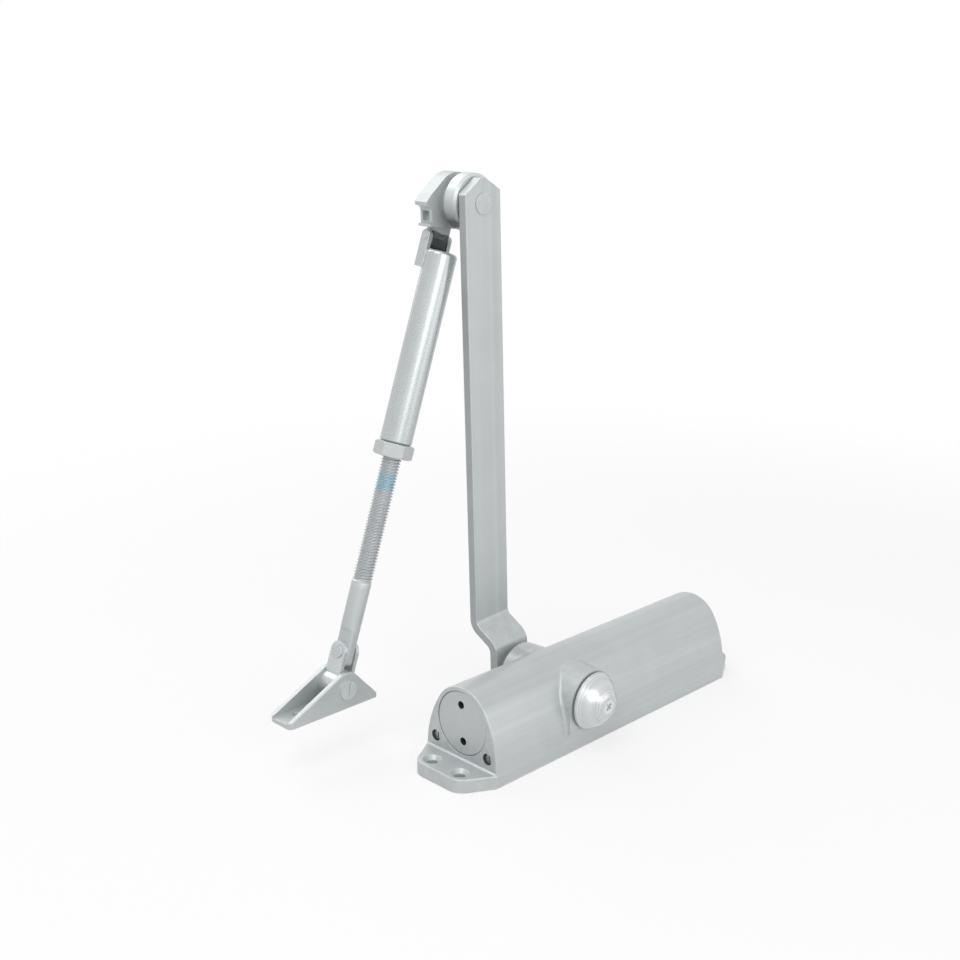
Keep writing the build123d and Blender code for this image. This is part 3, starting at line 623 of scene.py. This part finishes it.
def threadRings(place, low, high):
    # rings that climb one pitch per turn, so ring k runs into ring k + 4
    crest, root = rodPlan["crest"], rodPlan["crest"] - rodPlan["depth"]
    pitch, segments = rodPlan["pitch"], rodPlan["segments"]
    fade = rodPlan["fadeFrom"] * pitch
    shape = [(0.0, crest), (0.125, crest), (0.4375, root), (0.6875, root)]
    turns = int((high - low) / pitch)
    rings = []
    for turn in range(turns):
        for share, radius in shape:
            ring = []
            for k in range(segments):
                height = low + pitch * (turn + share + k / segments)
                lowFade = share01((height - low - fade) / (rodPlan["fadeLow"] * pitch))
                highFade = share01((high - fade - height) / (rodPlan["fadeHigh"] * pitch))
                r = crest + (radius - crest) * min(lowFade, highFade)
                angle = 2 * math.pi * k / segments
                z = min(height, high - rodPlan["topRoom"])
                ring.append(place @ Vector((r * math.cos(angle), r * math.sin(angle), z)))
            rings.append(ring)
    return rings


def threadFaces(bm, place):
    # the thread and its two ends; gives back the ring that the shank starts from
    plan = rodPlan
    segments = plan["segments"]
    rings = threadRings(place, plan["threadEnd"], plan["top"])
    helix = [[bm.verts.new(p) for p in ring] for ring in rings]
    seam = 4        # rings in one turn
    for r in range(len(helix) - 1):
        for k in range(segments):
            if k < segments - 1:
                corners = (helix[r][k], helix[r][k + 1], helix[r + 1][k + 1], helix[r + 1][k])
            elif r + seam + 1 < len(helix):
                corners = (helix[r][k], helix[r + seam][0], helix[r + seam + 1][0], helix[r + 1][k])
            else:
                continue
            bm.faces.new(corners)
    # lower end: the first turn's edge is a spiral step, closed on the shank's top ring
    spiral = helix[0] + [helix[seam][0]]
    start = circle(plan["crest"], plan["threadEnd"] - plan["startRoom"], place, segments)
    lower = [bm.verts.new(p) for p in start]
    for k in range(segments):
        bm.faces.new((lower[k], lower[(k + 1) % segments], spiral[k + 1], spiral[k]))
    bm.faces.new([lower[0]] + [helix[r][0] for r in range(0, seam + 1)][::-1])
    # upper end, inside the tube
    last = len(helix) - 1
    finish = circle(plan["crest"] - plan["depth"], plan["top"], place, segments)
    upper = [bm.verts.new(p) for p in finish]
    for k in range(segments - 1):
        bm.faces.new((helix[last][k], helix[last][k + 1], upper[k + 1], upper[k]))
    bm.faces.new([helix[last][segments - 1], upper[0], upper[segments - 1]][::-1])
    bm.faces.new([helix[r][segments - 1] for r in range(last - seam, last + 1)] + [upper[0]])
    bm.faces.new(upper)
    return lower


def shankHeights():
    # from the shank's end over the pressed flat to the rounded tail
    plan = rodPlan
    start, drop = plan["shankEnd"], plan["flatStart"] - plan["shankEnd"]
    steps = plan["pressSteps"]
    heights = [start + drop * k / steps for k in range(steps + 1)]
    heights += plan["flatMiddle"]
    tail, curve = plan["flatEnd"], plan["tailRound"]
    turns = [math.radians(a) for a in plan["tailTurns"]]
    return heights + [tail + curve * (1 - math.sin(t)) for t in turns]


def shankFaces(bm, place, before):
    # the round shank, pressed flat below
    plan = rodPlan
    segments, curve = plan["segments"], plan["tailRound"]
    for height in shankHeights():
        pressed = share01((plan["shankEnd"] - height) / (plan["shankEnd"] - plan["flatStart"]))
        pressed = pressed * pressed * (3 - 2 * pressed)
        power = 1.0 - plan["flatSquare"] * pressed
        halfX = plan["crest"] + (plan["flatThickness"] / 2 - plan["crest"]) * pressed
        halfY = plan["flatWidth"] / 2
        into = curve - (height - plan["flatEnd"])
        if into > 0:
            halfY -= curve - math.sqrt(max(0.0, curve ** 2 - into ** 2))
        ring = []
        for k in range(segments):
            angle = 2 * math.pi * k / segments
            c, s = math.cos(angle), math.sin(angle)
            x = halfX * math.copysign(abs(c) ** power, c)
            y = halfY * math.copysign(abs(s) ** power, s)
            ring.append(bm.verts.new(place @ Vector((x, y, height))))
        for k in range(segments):
            n = (k + 1) % segments
            bm.faces.new((ring[k], ring[n], before[n], before[k]))
        before = ring
    bm.faces.new(before)


def threadedRod():
    place = rodPlace()
    plan = rodPlan
    bm = bmesh.new()
    shankFaces(bm, place, threadFaces(bm, place))
    bmesh.ops.recalc_face_normals(bm, faces=bm.faces)
    mesh = bpy.data.meshes.new("adjustingRod")
    bm.to_mesh(mesh)
    bm.free()
    piece = addObject("adjustingRod", mesh, "rod")
    cross = place @ Matrix.Rotation(math.radians(90), 4, "Y")
    reach = plan["rivetReach"]
    bore(piece, skin("rivetHole", [circle(plan["rivetRadius"], h, cross) for h in (-reach, reach)]))
    shadeByAngle(piece.data, 30)
    piece.data.materials.clear()
    piece.data.materials.append(threadZinc)
    piece.data.materials.append(paint)
    inward = place.inverted()
    for face in piece.data.polygons:
        face.material_index = int((inward @ face.center).z < plan["paintedTo"])
    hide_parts("adjusting_rod")


# zinc plate with a dried band of thread lock; heights are above the rivet
threadLock = {
    "Low": 83.0 * mm,
    "High": 93.5 * mm,
    "Soft": 2.2 * mm,
    "Thin": 0.15,
    "colour": (0.33, 0.55, 0.62, 1),
}
rodZinc = metalValues((0.52, 0.54, 0.55), roughness=0.38, variation=0.15)
threadZinc = bandedFinish("zincRod", rodZinc, platedBump, 0.6, rodPlace(), threadLock)
threadedRod()
print("adjusting rod made")

lugPlan = {
    "halfWidth": 5.25 * mm,
    "halfDepth": 2.65 * mm,
    "round": 2.2 * mm,
    "pinRoom": 1.66 * mm,
    "bevel": 0.3 * mm,
    "cornerSteps": 6,
    "pinSteps": 10,
    "slotHalf": 5.7 * mm,
    "slotDepth": 2.8 * mm,
    "top": -0.5 * mm,       # from here on, heights above the fork pin, along the forearm
    "bottom": -5.7 * mm,
    "slotTop": 3.1 * mm,
    "slotFloor": -6.2 * mm,
}

# painted shade: a near-black band over the knuckle's foot, where the fork shades it
forkShadeBand = {                 # heights are above the fork pin
    "Low": -12.0 * mm,
    "High": 4.6 * mm,
    "Soft": 1.0 * mm,
    "Thin": 0.8,
    "colour": (0.07, 0.074, 0.078, 1),
}


def lugProfile(inset):
    # a round-bottomed outline with a hollow for the pin at its top
    plan = lugPlan
    half, low = plan["halfDepth"] - inset, plan["bottom"] + inset
    corner = half - plan["round"]
    points = [(-half, plan["top"])]
    for side, start in ((-1, 180), (1, 270)):
        for step in range(plan["cornerSteps"] + 1):
            a = math.radians(start + 90 * step / plan["cornerSteps"])
            y = side * corner + plan["round"] * math.cos(a)
            points.append((y, low + plan["round"] * (1 + math.sin(a))))
    points.append((half, plan["top"]))
    edge = math.degrees(math.asin(-plan["top"] / plan["pinRoom"]))
    for step in range(plan["pinSteps"] + 1):
        a = math.radians(-edge - (180 - 2 * edge) * step / plan["pinSteps"])
        points.append((plan["pinRoom"] * math.cos(a), plan["pinRoom"] * math.sin(a)))
    return points


def lugTail():
    # the tongue's end below the pin, which closes the fork to the eye; painted shade: it is near black, for the
    # shade in the fork
    place = forkPlace()
    half, bevel = lugPlan["halfWidth"], lugPlan["bevel"]
    spots = ((-half, bevel), (bevel - half, 0.0), (half - bevel, 0.0), (half, bevel))
    rings = [[place @ Vector((x, y, z)) for y, z in lugProfile(inset)] for x, inset in spots]
    mesh = skin("lugTail", rings)
    shadeByAngle(mesh, 30)
    mesh.materials.append(forkShade)
    addObject("lugTail", mesh, "elbow")


def paintFork():
    # painted shade: the tongue, the knuckle's foot and the inside of the fork are painted near black, for the
    # shade between the parts
    place, plan = forkPlace(), lugPlan
    shadedKnuckle = bandedFinish("knucklePaint", silver, 0.06 * mm, silverMetallic, place, forkShadeBand)
    nodes["elbow_knuckle"].data.materials[0] = shadedKnuckle
    inward = place.inverted()

    def inSlot(spot, normal):
        x, y, z = inward @ spot
        within = abs(x) < plan["slotHalf"] and abs(y) < plan["slotDepth"]
        return within and plan["slotFloor"] < z < plan["slotTop"]

    repaint("forearm_tube", forkShade, inSlot)


# painted shade: a darker band over the disc's lower half
discLowerShade = {              # heights are above the elbow pin
    "Low": -30.0 * mm,
    "High": 1.0 * mm,
    "Soft": 11.0 * mm,
    "Thin": 0.85,
    "colour": (0.20, 0.213, 0.218, 1),
}
discMetal = metalValues((0.60, 0.63, 0.64), roughness=0.30, variation=0.15)


def paintDisc():
    # painted shade: the lower half of the disc is painted darker, for the shade beneath it
    place = forkPlace()
    place.translation = joint("elbow_pivot")["pos_m"]
    shadedDisc = bandedFinish("discPaint", discMetal, platedBump, 0.4, place, discLowerShade)
    nodes["elbow_disc"].data.materials[0] = shadedDisc


lugTail()
paintFork()
paintDisc()
print("elbow made")

blendPlan = {
    "radius": 0.8 * mm,
    "halfWidth": 23.2 * mm,
    "footTop": 7.0 * mm,
    "sunk": 0.05 * mm,      # the strip reaches this far into the casting
    "faceProud": 0.3 * mm,  # the end face stands this far beyond the plug
    "steps": 8,
}


def footBlend(name, plug):
    # the rounded inner corner between a foot and an end face
    plan = blendPlan
    face, side = plugFace(plug)
    face += side * plan["faceProud"]
    r = plan["radius"]
    profile = [(-plan["sunk"], -plan["sunk"]), (r, -plan["sunk"]), (r, 0)]
    for step in range(1, plan["steps"]):
        a = math.radians(270 - 90 * step / plan["steps"])
        profile.append((r + r * math.cos(a), r + r * math.sin(a)))
    profile += [(0, r), (-plan["sunk"], r)]
    rings = []
    for y in (-plan["halfWidth"], plan["halfWidth"]):
        rings.append([Vector((face + side * x, y, plan["footTop"] + z)) for x, z in profile])
    mesh = skin(name, rings)
    shadeByAngle(mesh, 40)
    # painted highlight: the blend is painted lighter than the body
    mesh.materials.append(blendHighlightPaint)
    addObject(name, mesh, "housing")


footBlend("valveEndBlend", "valve_end_plug")
footBlend("springEndBlend", "spring_end_plug")
print("foot blends made")

stagePlan = {
    "floorColour": (0.88, 0.88, 0.88),
    "floorHalf": 3.0,
    "floorGap": 0.2 * mm,
    "shadowShare": 0.30,    # how much of the real light shows on the floor near the part
    "shadowNear": 0.30,
    "shadowFar": 0.75,
    "ambient": 0.43,
}


def whiteToTheEye(n):
    # one for camera, glossy and transmission rays
    path = n.add("ShaderNodeLightPath").outputs
    some = n.maths("MAXIMUM", path["Is Camera Ray"], path["Is Glossy Ray"])
    return n.maths("MAXIMUM", some, path["Is Transmission Ray"])


def floorMaterial():
    # matt and pale to the light, clear to the eye before the white world, with the part's
    # shadow kept near it; so an arm that swings below the mounting plane still shows
    made = bpy.data.materials.new("paleFloor")
    made.use_nodes = True
    n = Nodes(made.node_tree)
    made.node_tree.nodes.remove(made.node_tree.nodes["Principled BSDF"])
    matt = n.add("ShaderNodeBsdfDiffuse")
    matt.inputs["Color"].default_value = (*stagePlan["floorColour"], 1)
    clear = n.add("ShaderNodeBsdfTransparent")
    fade = n.add("ShaderNodeMapRange", interpolation_type="SMOOTHSTEP")
    n.link(n.vector("LENGTH", n.place()), fade.inputs["Value"])
    fade.inputs["From Min"].default_value = stagePlan["shadowNear"]
    fade.inputs["From Max"].default_value = stagePlan["shadowFar"]
    fade.inputs["To Min"].default_value = stagePlan["shadowShare"]
    fade.inputs["To Max"].default_value = 0.0
    seen = n.mixShader(fade.outputs["Result"], clear.outputs[0], matt.outputs[0])
    both = n.mixShader(whiteToTheEye(n), matt.outputs[0], seen)
    n.link(both, made.node_tree.nodes["Material Output"].inputs["Surface"])
    return made


def makeFloor():
    half = stagePlan["floorHalf"]
    mesh = bpy.data.meshes.new("floor")
    corners = [(-half, -half, 0), (half, -half, 0), (half, half, 0), (-half, half, 0)]
    mesh.from_pydata(corners, [], [(0, 1, 2, 3)])
    mesh.materials.append(floorMaterial())
    floor = addObject("floor", mesh)
    floor.location.z = cadLow.z - stagePlan["floorGap"]


def makeLamp(name, spot, power):
    light = bpy.data.lights.new(name, "AREA")
    light.size = lampPlan["size"]
    light.energy = power
    lamp = bpy.data.objects.new(name, light)
    lamp.location = spot
    lamp.rotation_mode = "QUATERNION"
    lamp.rotation_quaternion = (Vector(spot) - Vector(lampPlan["aim"])).to_track_quat("Z", "Y")
    scene.collection.objects.link(lamp)


def makeWorld():
    world = bpy.data.worlds.new("studio")
    world.use_nodes = True
    n = Nodes(world.node_tree)
    plain = world.node_tree.nodes["Background"]
    plain.inputs["Color"].default_value = (1, 1, 1, 1)
    plain.inputs["Strength"].default_value = stagePlan["ambient"]
    white = n.add("ShaderNodeBackground")
    white.inputs["Color"].default_value = (1, 1, 1, 1)
    both = n.mixShader(whiteToTheEye(n), plain.outputs[0], white.outputs[0])
    n.link(both, world.node_tree.nodes["World Output"].inputs["Surface"])
    scene.world = world


lampPlan = {"size": 0.8, "aim": (-0.02, 0.0, 0.12)}
lamps = {                   # place in metres and power in watts
    "front": ((-0.391, -1.114, 0.677), 4.9),
    "lowFront": ((0.502, -1.174, 0.316), 1.9),
    "topLeft": ((-0.796, -0.129, 1.155), 4.9),
    "top": ((-0.020, 0.0, 1.420), 1.4),
    "topBack": ((-0.150, 0.861, 1.085), 3.5),
    "back": ((0.223, 1.154, 0.667), 2.8),
    "besideCamera": ((-0.890, -0.832, 0.624), 0.8),
}

makeFloor()
makeWorld()
for name, (spot, power) in lamps.items():
    makeLamp(name, spot, power)
print("stage set")

cameraPlan = {
    "spot": (-0.53538, -0.43690, 0.33592),
    "azimuth": -45.983,
    "elevation": 16.744,
    "roll": 1.170,
    "lens": 53.233,
    "sensor": 36,
    "clip": (0.01, 50),
}


def makeCamera():
    lens = bpy.data.cameras.new("camera")
    lens.lens = cameraPlan["lens"]
    lens.sensor_width = cameraPlan["sensor"]
    lens.clip_start, lens.clip_end = cameraPlan["clip"]
    camera = bpy.data.objects.new("camera", lens)
    a, e, r = (math.radians(cameraPlan[turn]) for turn in ("azimuth", "elevation", "roll"))
    back = Vector((math.sin(a) * math.cos(e), -math.cos(a) * math.cos(e), math.sin(e)))
    right = (-back).cross(Vector((0, 0, 1))).normalized()
    up = right.cross(-back)
    x = right * math.cos(r) + up * math.sin(r)
    y = up * math.cos(r) - right * math.sin(r)
    camera.matrix_world = placeAt(cameraPlan["spot"], x, y, back)
    scene.collection.objects.link(camera)
    scene.camera = camera


makeCamera()
scene.view_settings.view_transform = "Standard"
